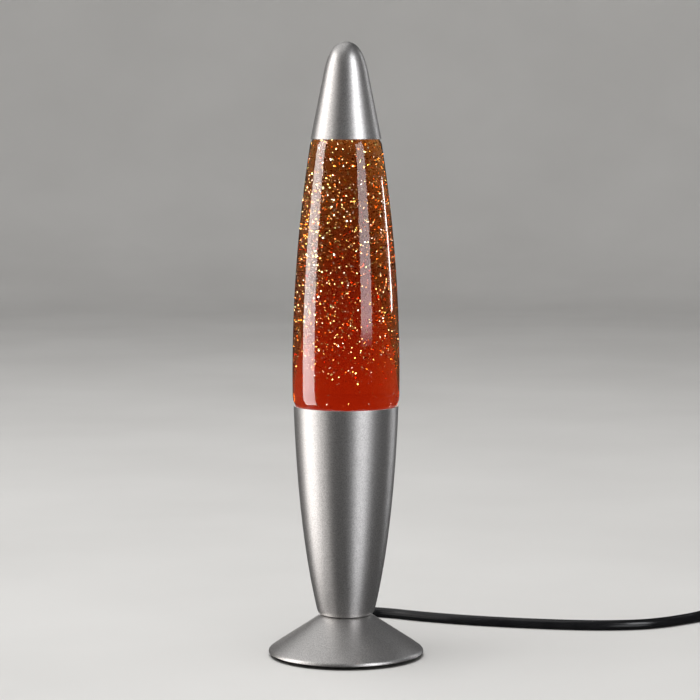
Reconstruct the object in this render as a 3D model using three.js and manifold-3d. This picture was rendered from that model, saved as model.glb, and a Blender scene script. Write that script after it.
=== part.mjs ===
// A rocket-shaped glitter lamp. A glass bottle of dyed liquid stands in a spun aluminium base
// over a reflector bulb, under a spun aluminium cap. A mains cord with an in-line rocker switch
// and a two-pin plug leaves the back of the foot.
// Millimetres, +Z up. The origin is on the table under the lamp's axis, and +Y is the back.
import * as THREE from 'three';
import { mergeVertices } from 'three/addons/utils/BufferGeometryUtils.js';
import Module from 'manifold-3d';

const wasm = await Module();
wasm.setup();

// ---- Driving dimensions ----

const LAMP_HEIGHT = 350;
const CAP_EDGE_Z = 295; // lower edge of the top cap
const RIM_Z = 144; // top edge of the base body, where the bottle's shoulder rests
const NECK_Z = 23.8; // underside of the base body, on the foot
const FOOT_RADIUS = 44.4;
const FOOT_TOP_Z = 23.6;
const FOOT_LIP_Z = 2; // lowest point of the foot's rolled lip
const RUBBER_HEIGHT = 2.2;
const SHEET = 0.9; // thickness of the spun aluminium
const GLASS_WALL = 2.4;
const GLASS_BOTTOM_Z = 112;
const NIPPLE_RADIUS = 4.9; // M10 lamp nipple
const BULB_TIP_Z = 41.6;
const BULB_TOP_Z = 107.6;
const BULB_RADIUS = 19.5; // R39 reflector bulb
const CORD_RADIUS = 3;
const CORD_EXIT_TURN = THREE.MathUtils.degToRad(8); // the cord leaves this far round from +Y
const CORD_EXIT_Z = 5.2;
const GAP = 0.3; // between pieces that meet

const ROUND_SIDES = 32; // sides of the large turned pieces
const SMALL_SIDES = 16; // sides of the small ones
const CORD_SIDES = 8;

// ---- Materials ----

function material(color, roughness, metalness) {
  return new THREE.MeshStandardMaterial({ color, roughness, metalness });
}

const silverPaint = material(0xb4b2b0, 0.34, 0.9);
const clearGlass = material(0xf3e3d6, 0.03, 0);
const redLiquid = material(0xc4260c, 0.1, 0);
const whitePlastic = material(0xe9e6df, 0.45, 0);
const blackPlastic = material(0x17171a, 0.42, 0);
const blackRubber = material(0x1c1c1c, 0.85, 0);
const zincSteel = material(0xb9bcc0, 0.4, 0.9);
const brass = material(0xc9a24a, 0.35, 0.9);
const ceramic = material(0xf0ece2, 0.5, 0);
const fibre = material(0x8c4a2b, 0.8, 0);
const silveredGlass = material(0xd9dadc, 0.12, 0.6);
const tungsten = material(0x57575a, 0.5, 0.8);
const liveBrown = material(0x5a3116, 0.5, 0);
const neutralBlue = material(0x24509c, 0.5, 0);
const cordBlack = material(0x0d0d0e, 0.3, 0);

// ---- Shape helpers ----

const lamp = new THREE.Group();

function addPart(name, geometry, surface, parent = lamp) {
  const mesh = new THREE.Mesh(geometry, surface);
  mesh.name = name;
  parent.add(mesh);
}

const at = (r, z) => new THREE.Vector2(r, z);

function bend(from, control, to, steps) {
  return new THREE.QuadraticBezierCurve(from, control, to).getPoints(steps);
}

function moved(points, dr, dz) {
  return points.map((p) => at(p.x + dr, p.y + dz));
}

// One outline from points and lists of points, without the points that repeat.
function outline(...pieces) {
  const points = pieces.flat();
  return points.filter((p, i) => i === 0 || p.distanceTo(points[i - 1]) > 1e-6);
}

// An outline that starts and ends on the axis, turned about Z.
function turned(points, sides = ROUND_SIDES) {
  return new THREE.LatheGeometry(points, sides).rotateX(Math.PI / 2);
}

// An outline round a hollow axis, closed on itself and turned about Z.
function turnedRing(points, sides = ROUND_SIDES) {
  return turned([...points, points[0]], sides);
}

function disc(radius, bottom, top, sides = SMALL_SIDES) {
  return turned([at(0, bottom), at(radius, bottom), at(radius, top), at(0, top)], sides);
}

function washer(hole, radius, bottom, top, sides = SMALL_SIDES) {
  const section = [at(hole, bottom), at(radius, bottom), at(radius, top), at(hole, top)];
  return turnedRing(section, sides);
}

function box(low, high) {
  const size = new THREE.Vector3(...high).sub(new THREE.Vector3(...low));
  const middle = new THREE.Vector3(...high).add(new THREE.Vector3(...low)).multiplyScalar(0.5);
  return new THREE.BoxGeometry(size.x, size.y, size.z).translate(middle.x, middle.y, middle.z);
}

// A flat outline in the XZ plane, thickened along Y.
function strip(points, width) {
  const shape = new THREE.Shape(points.map(([x, z]) => at(x, z)));
  const solid = new THREE.ExtrudeGeometry(shape, { depth: width, bevelEnabled: false });
  return solid.rotateX(Math.PI / 2).translate(0, width / 2, 0);
}

// A flat outline in the XY plane, thickened upwards.
function plate(shape, bottom, top) {
  const solid = new THREE.ExtrudeGeometry(shape, {
    depth: top - bottom,
    bevelEnabled: false,
    curveSegments: 5,
  });
  return solid.translate(0, 0, bottom);
}

function tube(points, radius, steps, sides = CORD_SIDES) {
  const corners = [];
  for (let i = 0; i < sides; i += 1) {
    const angle = ((i + 0.5) / sides) * 2 * Math.PI;
    corners.push(at(radius * Math.cos(angle), radius * Math.sin(angle)));
  }
  const path = new THREE.CatmullRomCurve3(
    points.map((p) => new THREE.Vector3(...p)),
    false,
    'catmullrom',
    0.5,
  );
  return new THREE.ExtrudeGeometry(new THREE.Shape(corners), {
    extrudePath: path,
    steps,
    bevelEnabled: false,
  });
}

function solidOf(geometry) {
  const bare = geometry.clone();
  bare.deleteAttribute('normal');
  bare.deleteAttribute('uv');
  const merged = mergeVertices(bare, 1e-4);
  const corners = merged.index.array;
  const kept = [];
  for (let i = 0; i < corners.length; i += 3) {
    const [a, b, c] = [corners[i], corners[i + 1], corners[i + 2]];
    if (a !== b && b !== c && c !== a) kept.push(a, b, c);
  }
  return new wasm.Manifold(
    new wasm.Mesh({
      numProp: 3,
      vertProperties: merged.attributes.position.array,
      triVerts: Uint32Array.from(kept),
    }),
  );
}

function geometryOf(solid) {
  const { vertProperties, triVerts } = solid.getMesh();
  const geometry = new THREE.BufferGeometry();
  geometry.setAttribute('position', new THREE.BufferAttribute(vertProperties, 3));
  geometry.setIndex(new THREE.BufferAttribute(triVerts, 1));
  geometry.computeVertexNormals();
  return geometry;
}

function cut(geometry, ...tools) {
  return geometryOf(tools.reduce((left, tool) => left.subtract(solidOf(tool)), solidOf(geometry)));
}

function join(geometry, ...others) {
  return geometryOf(others.reduce((sum, other) => sum.add(solidOf(other)), solidOf(geometry)));
}

// ---- Top cap: a straight cone that closes in a blunt, slightly pointed dome ----

const CAP_EDGE_RADIUS = 20.1;
const CAP_SHOULDER = at(12.45, 333);
const CAP_SLOPE = (CAP_EDGE_RADIUS - CAP_SHOULDER.x) / (CAP_SHOULDER.y - CAP_EDGE_Z);

function capRadius(z) {
  return CAP_EDGE_RADIUS - (z - CAP_EDGE_Z) * CAP_SLOPE;
}

function topCap() {
  const dome = bend(CAP_SHOULDER, at(capRadius(LAMP_HEIGHT), LAMP_HEIGHT), at(0, LAMP_HEIGHT), 6);
  const inside = bend(
    at(0, LAMP_HEIGHT - SHEET),
    at(capRadius(LAMP_HEIGHT) - SHEET, LAMP_HEIGHT - SHEET),
    at(CAP_SHOULDER.x - SHEET, CAP_SHOULDER.y),
    4,
  );
  const edge = [
    at(CAP_EDGE_RADIUS - SHEET, CAP_EDGE_Z),
    at(CAP_EDGE_RADIUS - 0.3, CAP_EDGE_Z),
    at(capRadius(CAP_EDGE_Z + 0.5), CAP_EDGE_Z + 0.5),
  ];
  return turned(outline(inside, edge, dome));
}

addPart('top_cap', topCap(), silverPaint);

// ---- Bottle: glass with an open neck, its liquid, and the screw cap with its seal ----

const GLASS_WIDEST = at(30.4, 150); // where the side leaves the shoulder
const GLASS_SIDE_CONTROL = at(31.33, 222.4);
const GLASS_TOP = at(20.2, 292.6);
const BOTTLE_NECK_RADIUS = 10.2;
const BOTTLE_NECK_TOP = 321;
const LIQUID_LEVEL = 302;
const SCREW_CAP_RADIUS = 12.4;
const SCREW_CAP_TOP = 324.4;

// The outside from the shoulder on the rim to the shoulder under the cap.
function bottleSide(steps) {
  return bend(GLASS_WIDEST, GLASS_SIDE_CONTROL, GLASS_TOP, steps);
}

// The part under the cap, in from the visible side and up to the neck.
function bottleTop(neckRadius, wall) {
  return outline(
    at(18.7 - wall, CAP_EDGE_Z + 0.3),
    at(17.2 - wall, 302),
    bend(at(16.6 - wall, 304.5), at(neckRadius, 305.5), at(neckRadius, 309), 3),
  );
}

function bottleInside(wall) {
  const floor = GLASS_BOTTOM_Z + 3 + wall - GLASS_WALL;
  return outline(
    at(0, floor),
    bend(at(18, floor), at(23.2 - wall + GLASS_WALL, floor), at(25.9 - wall, floor + 6), 3),
    at(28.3 - wall, 143),
    moved(bottleSide(6), -wall, 0),
    bottleTop(BOTTLE_NECK_RADIUS - 2.2 + GLASS_WALL - wall, wall),
  );
}

function bottleGlass() {
  const outside = outline(
    at(0, GLASS_BOTTOM_Z),
    bend(at(19.5, GLASS_BOTTOM_Z), at(25.4, GLASS_BOTTOM_Z), at(25.9, GLASS_BOTTOM_Z + 6), 3),
    at(28.55, 143),
    bend(at(28.7, 143.8), at(29.4, 145.6), at(30.1, 147), 2),
    bottleSide(8),
    bottleTop(BOTTLE_NECK_RADIUS, 0),
    at(BOTTLE_NECK_RADIUS, BOTTLE_NECK_TOP),
  );
  const inside = bottleInside(GLASS_WALL);
  inside.push(at(inside.at(-1).x, BOTTLE_NECK_TOP));
  return turned(outline(outside, inside.reverse()));
}

function bottleLiquid() {
  const filled = bottleInside(GLASS_WALL + 0.2).filter((p) => p.y < LIQUID_LEVEL);
  const surface = filled.at(-1);
  return turned(outline(filled, at(surface.x - 1.3, LIQUID_LEVEL), at(0, LIQUID_LEVEL)));
}

function screwCap() {
  const skirt = BOTTLE_NECK_RADIUS + GAP;
  const underTop = BOTTLE_NECK_TOP + 1.8;
  return turned(
    [
      at(0, underTop),
      at(skirt, underTop),
      at(skirt, 310.5),
      at(SCREW_CAP_RADIUS, 310.5),
      at(SCREW_CAP_RADIUS, SCREW_CAP_TOP - 0.8),
      at(SCREW_CAP_RADIUS - 0.8, SCREW_CAP_TOP),
      at(0, SCREW_CAP_TOP),
    ],
    ROUND_SIDES,
  );
}

addPart('bottle_glass', bottleGlass(), clearGlass);
addPart('bottle_liquid', bottleLiquid(), redLiquid);
addPart('bottle_screw_cap', screwCap(), whitePlastic);
addPart('bottle_cap_seal', disc(9.8, BOTTLE_NECK_TOP + 0.1, BOTTLE_NECK_TOP + 1.6), blackRubber);

// ---- Base body: a tall cup with a softly swelling side, and the shallow cone of the foot ----

const BODY_RIM_RADIUS = 29.87;
const BODY_SIDE_CONTROL = at(27.26, 72);
const BODY_HEEL = at(16.69, 27); // where the side meets the rounded bottom corner
const BODY_HEEL_CONTROL = at(15.94, NECK_Z);
const CENTRE_HOLE = NIPPLE_RADIUS + GAP;
const BODY_FLAT_RADIUS = 13.3;

function baseBody() {
  const side = bend(BODY_HEEL, BODY_SIDE_CONTROL, at(BODY_RIM_RADIUS, RIM_Z - 0.4), 7);
  const heel = bend(at(BODY_FLAT_RADIUS, NECK_Z), BODY_HEEL_CONTROL, BODY_HEEL, 3);
  const floor = NECK_Z + SHEET;
  const inside = [
    at(CENTRE_HOLE, floor),
    at(BODY_FLAT_RADIUS - 0.3, floor),
    ...moved(side, -SHEET, 0),
  ];
  return turnedRing(
    outline(
      at(CENTRE_HOLE, NECK_Z),
      heel,
      side,
      at(BODY_RIM_RADIUS - 0.3, RIM_Z),
      at(BODY_RIM_RADIUS - 0.6, RIM_Z),
      inside.reverse(),
    ),
  );
}

const FOOT_SHOULDER = at(15.2, 23.1);
const FOOT_LOWER = at(36.2, 9.15); // the straight cone ends here and rounds over to the lip
const FOOT_LIP_CONTROL = at(40.7, 6.2);

function footShell() {
  const lip = bend(at(FOOT_RADIUS, 2.8), FOOT_LIP_CONTROL, FOOT_LOWER, 3);
  const outside = outline(
    at(FOOT_RADIUS - 0.3, FOOT_LIP_Z),
    lip,
    FOOT_SHOULDER,
    at(FOOT_SHOULDER.x - 1, FOOT_TOP_Z),
    at(CENTRE_HOLE, FOOT_TOP_Z),
  );
  const inside = outline(
    at(CENTRE_HOLE, FOOT_TOP_Z - SHEET),
    at(FOOT_SHOULDER.x - 1.2, FOOT_TOP_Z - SHEET),
    moved([FOOT_SHOULDER, FOOT_LOWER], -0.55, -0.75),
    at(FOOT_RADIUS - 1.2, 2.9),
    at(FOOT_RADIUS - 1, FOOT_LIP_Z),
  );
  return turnedRing(outline(outside, inside));
}

// ---- Cord outlet at the back of the foot, on an axis turned a little from +Y ----

const BUSH_RADIUS = 4.4;
const BUSH_START = 33;
const COLLAR_START = 45;
const RELIEF_END = 73;
const JACKET_END = 25; // where the cord's jacket ends inside the foot

// A turned piece whose axis lies along the outlet, at the cord's height.
function alongOutlet(geometry) {
  return geometry.rotateX(-Math.PI / 2).translate(0, 0, CORD_EXIT_Z).rotateZ(CORD_EXIT_TURN);
}

// The slot that lets the cord and its bush in from the edge, from the given radius outwards.
function outletSlot(from) {
  const halfWidth = BUSH_RADIUS + GAP;
  const end = COLLAR_START + 2;
  const slot = disc(halfWidth, from, end);
  const below = box([-halfWidth, from, -1], [halfWidth, end, CORD_EXIT_Z]);
  return [alongOutlet(slot), below.rotateZ(CORD_EXIT_TURN)];
}

function strainRelief() {
  return turned(
    [
      at(0, BUSH_START),
      at(BUSH_RADIUS, BUSH_START),
      at(BUSH_RADIUS, COLLAR_START),
      at(5, COLLAR_START),
      at(5, COLLAR_START + 1.8),
      at(4.3, COLLAR_START + 2.6),
      at(3.7, RELIEF_END),
      at(0, RELIEF_END),
    ],
    SMALL_SIDES,
  );
}

addPart('base_body', baseBody(), silverPaint);
addPart('foot_shell', cut(footShell(), ...outletSlot(BUSH_START - 3)), silverPaint);
addPart('strain_relief', alongOutlet(strainRelief()), blackRubber);

// ---- Underside: cover, rubber feet, bracket and screws ----

const COVER_RADIUS = 41.2;
const COVER_TOP = RUBBER_HEIGHT + 1.6;
const FEET_CIRCLE = 33;
const COVER_SCREW_X = 22;
const BRACKET_TOP = FOOT_TOP_Z - SHEET - 0.1;
const BRACKET_SHEET = 1.2;

function bottomCover() {
  const holes = [-COVER_SCREW_X, COVER_SCREW_X].map((x) => disc(1.9, 0, 6).translate(x, 0, 0));
  const cover = disc(COVER_RADIUS, RUBBER_HEIGHT, COVER_TOP, ROUND_SIDES);
  return cut(cover, ...holes, ...outletSlot(JACKET_END - 2));
}

// A strap under the foot's top with two legs whose ends hold the cover screws.
function coverBracket() {
  const strap = strip(
    [
      [-12.5, BRACKET_TOP],
      [-28, 4.1],
      [-19, 4.1],
      [-19, 4.1 + BRACKET_SHEET],
      [-26, 4.1 + BRACKET_SHEET],
      [-11.9, BRACKET_TOP - BRACKET_SHEET],
      [11.9, BRACKET_TOP - BRACKET_SHEET],
      [26, 4.1 + BRACKET_SHEET],
      [19, 4.1 + BRACKET_SHEET],
      [19, 4.1],
      [28, 4.1],
      [12.5, BRACKET_TOP],
    ],
    11,
  );
  const centre = disc(CENTRE_HOLE, BRACKET_TOP - 3, BRACKET_TOP + 1);
  const tapped = [-COVER_SCREW_X, COVER_SCREW_X].map((x) => disc(1.9, 3, 7).translate(x, 0, 0));
  return cut(strap, centre, ...tapped);
}

function panScrew(headRadius, headBottom, headTop, shankRadius, tip) {
  return turned(
    [
      at(0, headBottom),
      at(headRadius, headBottom),
      at(headRadius, headTop),
      at(shankRadius, headTop),
      at(shankRadius, tip),
      at(0, tip),
    ],
    12,
  );
}

addPart('bottom_cover', bottomCover(), blackPlastic);
for (let i = 0; i < 4; i += 1) {
  const angle = Math.PI / 4 + (i * Math.PI) / 2;
  const foot = turned([at(0, 0), at(5, 0), at(5.5, RUBBER_HEIGHT), at(0, RUBBER_HEIGHT)], 16);
  foot.translate(FEET_CIRCLE * Math.cos(angle), FEET_CIRCLE * Math.sin(angle), 0);
  addPart(`rubber_foot_${i + 1}`, foot, blackRubber);
}
addPart('cover_bracket', coverBracket(), zincSteel);
[-COVER_SCREW_X, COVER_SCREW_X].forEach((x, i) => {
  const screw = panScrew(3, 1, RUBBER_HEIGHT, 1.5, 6.6).translate(x, 0, 0);
  addPart(`cover_screw_${i + 1}`, screw, zincSteel);
});

// ---- Threaded nipple through foot and body, with its nut and washers ----

const LOCK_WASHER_BOTTOM = BRACKET_TOP - BRACKET_SHEET - 0.9;
const HOLDER_BOTTOM = 25.9;

function hexNut(bottom, top) {
  return cut(disc(8.1, bottom, top, 6), disc(CENTRE_HOLE, bottom - 1, top + 1));
}

addPart('nipple_tube', washer(3.8, NIPPLE_RADIUS, 12, 33.6), zincSteel);
addPart('nipple_nut', hexNut(LOCK_WASHER_BOTTOM - 5, LOCK_WASHER_BOTTOM), brass);
addPart(
  'lock_washer',
  washer(CENTRE_HOLE, 9, LOCK_WASHER_BOTTOM + 0.1, LOCK_WASHER_BOTTOM + 0.8),
  zincSteel,
);
addPart('insulating_washer', washer(CENTRE_HOLE, 10, HOLDER_BOTTOM - 1.1, HOLDER_BOTTOM - 0.1), fibre);

// ---- E14 lampholder: shell, insert, screw sleeve and centre contact ----

function lampholderShell() {
  return turnedRing(
    [
      at(CENTRE_HOLE, HOLDER_BOTTOM),
      at(8.6, HOLDER_BOTTOM),
      at(9.2, HOLDER_BOTTOM + 0.7),
      at(9.2, 31),
      at(13.2, 35.5),
      at(13.2, 65.2),
      at(12.4, 66),
      at(9.2, 66),
      at(9.2, 64.4),
      at(11.6, 64.4),
      at(11.6, 36),
      at(9.8, 34),
      at(CENTRE_HOLE, 34),
    ],
    24,
  );
}

function lampholderContact() {
  const tongue = [
    [-4.5, 39.9],
    [4.5, 39.9],
    [4.5, 40.3],
    [-3, 40.3],
    [1.5, 41],
    [1.3, 41.3],
    [-4.5, 40.5],
  ];
  return strip(tongue, 3.2);
}

const sleeveSection = [at(7.4, 40), at(9.6, 40), at(9.6, 40.6), at(7.9, 40.6), at(7.9, 62), at(7.4, 62)];
addPart('lampholder_shell', lampholderShell(), blackPlastic);
addPart('lampholder_insert', disc(11.2, 36.6, 39.7), ceramic);
addPart('lampholder_sleeve', turnedRing(sleeveSection, SMALL_SIDES), brass);
addPart('lampholder_contact', lampholderContact(), brass);

// ---- Reflector bulb: envelope, screw cap, insulator, contact, stem and filament ----

const ENVELOPE_FOOT_Z = 56;
const ENVELOPE_WALL = 0.8;

function bulbEnvelope() {
  const side = outline(
    bend(at(6, 61.9), at(8.4, 62.5), at(8.5, 66), 2),
    bend(at(8.7, 71), at(10.5, 80), at(15, 87), 3),
    bend(at(15, 87), at(19.2, 92.5), at(BULB_RADIUS, 98), 3),
  );
  const dome = outline(
    bend(at(BULB_RADIUS, 98), at(BULB_RADIUS, 101.5), at(17, 103), 2),
    bend(at(17, 103), at(9.5, BULB_TOP_Z), at(0, BULB_TOP_Z), 3),
  );
  const inside = outline(
    at(6 - ENVELOPE_WALL, ENVELOPE_FOOT_Z),
    moved(side, -ENVELOPE_WALL, 0),
    moved(dome.slice(1, -1), -ENVELOPE_WALL / 2, -ENVELOPE_WALL),
    at(0, BULB_TOP_Z - ENVELOPE_WALL),
  );
  return turned(outline(inside.reverse(), at(6, ENVELOPE_FOOT_Z), side, dome), 24);
}

function filament() {
  const arch = [
    [-1, 0, 74.4],
    [-6.5, 0, 82],
    [-5, 0, 87],
    [0, 0, 88.5],
    [5, 0, 87],
    [6.5, 0, 82],
    [1, 0, 74.4],
  ];
  return tube(arch, 0.35, 16, 6);
}

const capSection = [at(6.3, 46.2), at(6.9, 46.8), at(6.9, 61.5), at(6.3, 61.5)];
const insulatorOutline = [at(0, 43.4), at(2.6, 43.4), at(5.7, 46), at(5.7, 48), at(0, 48)];
const contactOutline = [at(0, BULB_TIP_Z), at(1.6, BULB_TIP_Z + 0.3), at(2.3, 43.2), at(0, 43.2)];
const stemOutline = [at(0, 56.2), at(2.6, 56.2), at(2.4, 68), at(1.6, 74), at(0, 74)];
addPart('bulb_envelope', bulbEnvelope(), silveredGlass);
addPart('bulb_screw_cap', turnedRing(capSection, SMALL_SIDES), brass);
addPart('bulb_insulator', turned(insulatorOutline, SMALL_SIDES), blackPlastic);
addPart('bulb_contact', turned(contactOutline, 12), zincSteel);
addPart('bulb_stem', turned(stemOutline, 12), clearGlass);
addPart('bulb_filament', filament(), tungsten);

// ---- The cord's inner end and its two cores, up through the nipple to the lampholder ----

function core(side) {
  const from = new THREE.Vector3(1.3 * side, JACKET_END - GAP, CORD_EXIT_Z + 0.6);
  from.applyAxisAngle(new THREE.Vector3(0, 0, 1), CORD_EXIT_TURN);
  const route = [
    from.toArray(),
    [1.6 * side - 1.6, 15, 6.6],
    [1.6 * side - 0.5, 6.5, 7.6],
    [1.6 * side, 1.6, 10.6],
    [1.6 * side, 0, 15.5],
    [1.6 * side, 0, 24],
    [1.6 * side, 0, 30],
    [1.6 * side, 0, 36.3],
  ];
  return tube(route, 0.9, 24);
}

addPart('cord_inside', alongOutlet(disc(CORD_RADIUS, JACKET_END, BUSH_START - GAP, 12)), cordBlack);
addPart('core_live', core(1), liveBrown);
addPart('core_neutral', core(-1), neutralBlue);

// ---- The cord: its route along the table, then a coil, and the plug beside the coil ----

const ROUTE_TO_SWITCH = [
  [-10.2, 72.6, 5.1],
  [-11.3, 80, 4.2],
  [-11.8, 88, 3.3],
  [-9.5, 98, 3],
  [-3, 106.8, 3],
  [6, 111.5, 3],
  [16, 112, 3],
  [26, 109, 3],
  [42, 100.5, 3],
  [58, 93, 3],
  [75, 86.4, 3],
  [94, 80.6, 3],
  [117, 75, 3],
  [141, 71, 3],
  [162, 70.6, 3],
  [179, 73.6, 3],
  [193, 80, 3],
  [205, 88.5, 3],
  [216, 96.6, 3.4],
  [226, 101.4, 5.2],
  [237.2, 103.5, 7.7],
];
const SWITCH_MIDDLE = [269, 104];
const SWITCH_AXIS_Z = 8;
const ROUTE_TO_COIL = [
  [300.8, 104, 7.7],
  [308, 103, 6.2],
  [317, 98.5, 4.2],
  [324, 90.5, 3.2],
  [327.2, 79, 3],
  [327.2, 69.8, 3],
];
const COIL_MIDDLE = [288, 46];
const COIL_INNER = 21.2;
const COIL_OUTER = 42.2;
const COIL_TOP_Z = 12; // two layers of turns
const ROUTE_TO_PLUG = [
  [327.2, 22.2, 8.2],
  [326.6, 11.5, 6.2],
  [323.6, 0, 4.4],
  [316.6, -11, 3.4],
  [306, -18.6, 3.6],
  [295, -20.9, 5.4],
  [287.4, -21, 6.8],
];
const PLUG_START = [286.8, -21];

addPart('cord_to_switch', tube(ROUTE_TO_SWITCH, CORD_RADIUS, 30), cordBlack);
addPart('cord_to_coil', tube(ROUTE_TO_COIL, CORD_RADIUS, 7), cordBlack);
addPart('cord_to_plug', tube(ROUTE_TO_PLUG, CORD_RADIUS, 9), cordBlack);

// ---- The coil's outer shape, notched where its tie passes under it ----

const TIE_TURN = THREE.MathUtils.degToRad(200);
const TIE_SHEET = 1;
const TIE_WIDTH = 9;

// A box across the coil where the tie is, in the coil's own frame.
function acrossCoil(inner, outer, bottom, top, width) {
  return box([inner, -width / 2, bottom], [outer, width / 2, top]).rotateZ(TIE_TURN);
}

function cordCoil() {
  const bevel = 1.5;
  const ring = turnedRing([
    at(COIL_INNER, bevel),
    at(COIL_INNER + bevel, 0),
    at(COIL_OUTER - bevel, 0),
    at(COIL_OUTER, bevel),
    at(COIL_OUTER, COIL_TOP_Z - bevel),
    at(COIL_OUTER - bevel, COIL_TOP_Z),
    at(COIL_INNER + bevel, COIL_TOP_Z),
    at(COIL_INNER, COIL_TOP_Z - bevel),
  ]);
  const lift = TIE_SHEET + GAP;
  return cut(ring, acrossCoil(COIL_INNER - 3, COIL_OUTER + 3, -1, lift, TIE_WIDTH + 2 * GAP));
}

function cordTie() {
  const inner = COIL_INNER - 3 * GAP; // clear of the curve across the width
  const outer = COIL_OUTER + GAP;
  const top = COIL_TOP_Z + GAP;
  const around = acrossCoil(inner - TIE_SHEET, outer + TIE_SHEET, 0, top + TIE_SHEET, TIE_WIDTH);
  return cut(around, acrossCoil(inner, outer, TIE_SHEET, top, TIE_WIDTH + 2));
}

addPart('cord_coil', cordCoil().translate(...COIL_MIDDLE, 0), cordBlack);
addPart('cord_tie', cordTie().translate(...COIL_MIDDLE, 0), blackPlastic);

// ---- In-line switch: two shells, rocker, two screws and two contacts ----

const SWITCH_LENGTH = 62;
const SWITCH_WIDTH = 24;
const SWITCH_HEIGHT = 16;
const ROCKER_PIVOT_Z = 12;
const ROCKER_LENGTH = 19.2;
const ROCKER_WIDTH = 10.8;
const ROCKER_TILT = THREE.MathUtils.degToRad(9);
const SWITCH_SCREW = [19, 8.9];

const inlineSwitch = new THREE.Group();
inlineSwitch.position.set(...SWITCH_MIDDLE, 0);
lamp.add(inlineSwitch);

function switchOutline() {
  const [endX, endY, sideX, sideY] = [SWITCH_LENGTH / 2, 6.5, 20, SWITCH_WIDTH / 2];
  const shape = new THREE.Shape();
  shape.moveTo(-sideX, -sideY);
  shape.lineTo(sideX, -sideY);
  shape.quadraticCurveTo(endX - 2, -sideY, endX, -endY);
  shape.lineTo(endX, endY);
  shape.quadraticCurveTo(endX - 2, sideY, sideX, sideY);
  shape.lineTo(-sideX, sideY);
  shape.quadraticCurveTo(2 - endX, sideY, -endX, endY);
  shape.lineTo(-endX, -endY);
  shape.quadraticCurveTo(2 - endX, -sideY, -sideX, -sideY);
  return shape;
}

function switchCordHole() {
  const hole = disc(CORD_RADIUS + GAP, -SWITCH_LENGTH, SWITCH_LENGTH, 12);
  return hole.rotateY(Math.PI / 2).translate(0, 0, SWITCH_AXIS_Z);
}

// Holes for the screws, wide for the heads from below and narrow above.
function switchScrewHoles(radius, bottom, top) {
  return [-1, 1].map((side) => {
    const hole = disc(radius, bottom, top, 12);
    return hole.translate(side * SWITCH_SCREW[0], side * SWITCH_SCREW[1], 0);
  });
}

function switchLower() {
  const shell = plate(switchOutline(), 0, SWITCH_AXIS_Z - 0.1);
  return cut(
    shell,
    box([-22, -5.8, 2], [22, 5.8, SWITCH_HEIGHT]),
    switchCordHole(),
    ...switchScrewHoles(2.6, -1, 2.8),
    ...switchScrewHoles(1.5, 1, SWITCH_HEIGHT),
  );
}

function switchUpper() {
  const shell = plate(switchOutline(), SWITCH_AXIS_Z + 0.1, SWITCH_HEIGHT);
  const opening = [ROCKER_LENGTH / 2 + 1, ROCKER_WIDTH / 2 + 0.4];
  return cut(
    shell,
    box([-22, -5.8, 0], [22, 5.8, SWITCH_HEIGHT - 2]),
    box([-opening[0], -opening[1], 5], [opening[0], opening[1], SWITCH_HEIGHT + 1]),
    switchCordHole(),
    ...switchScrewHoles(1.5, 0, SWITCH_HEIGHT - 3),
  );
}

// A rocker with a dished top, resting on its off side.
function switchRocker() {
  const half = ROCKER_LENGTH / 2;
  const profile = [
    [-5, -2.6],
    [5, -2.6],
    [half, 1.2],
    [half, 4.4],
    [half / 2, 3.4],
    [0, 3],
    [-half / 2, 3.4],
    [-half, 4.4],
    [-half, 1.2],
  ];
  return strip(profile, ROCKER_WIDTH).rotateY(-ROCKER_TILT).translate(0, 0, ROCKER_PIVOT_Z);
}

addPart('switch_lower_shell', switchLower(), blackPlastic, inlineSwitch);
addPart('switch_upper_shell', switchUpper(), blackPlastic, inlineSwitch);
addPart('switch_rocker', switchRocker(), blackPlastic, inlineSwitch);
[-1, 1].forEach((side, i) => {
  const screw = panScrew(2.2, 0.8, 2.6, 1.1, SWITCH_HEIGHT - 3.6);
  screw.translate(side * SWITCH_SCREW[0], side * SWITCH_SCREW[1], 0);
  addPart(`switch_screw_${i + 1}`, screw, zincSteel, inlineSwitch);
});
[-1, 1].forEach((side, i) => {
  const angle = [
    [4 * side, 2.1],
    [15 * side, 2.1],
    [15 * side, 2.9],
    [4.8 * side, 2.9],
    [4.8 * side, 7.2],
    [4 * side, 7.2],
  ];
  addPart(`switch_contact_${i + 1}`, strip(side > 0 ? angle : angle.reverse(), 5), brass, inlineSwitch);
});

// ---- Two-pin plug, lying flat with its pins away from the cord ----

const PLUG_LENGTH = 36;
const PLUG_HEIGHT = 14;
const PIN_SPACING = 19;
const PIN_RADIUS = 2;
const PIN_LENGTH = 19;
const PIN_SOCKET = 6; // depth of each pin inside the body

const plug = new THREE.Group();
plug.position.set(...PLUG_START, 0);
plug.rotation.z = Math.PI;
lamp.add(plug);

function plugPin(radius, from, to) {
  const tip = 0.8;
  const profile = [at(0, from), at(radius, from), at(radius, to - tip), at(radius - tip, to), at(0, to)];
  return turned(profile, 12).rotateY(Math.PI / 2).translate(0, 0, PLUG_HEIGHT / 2);
}

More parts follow.
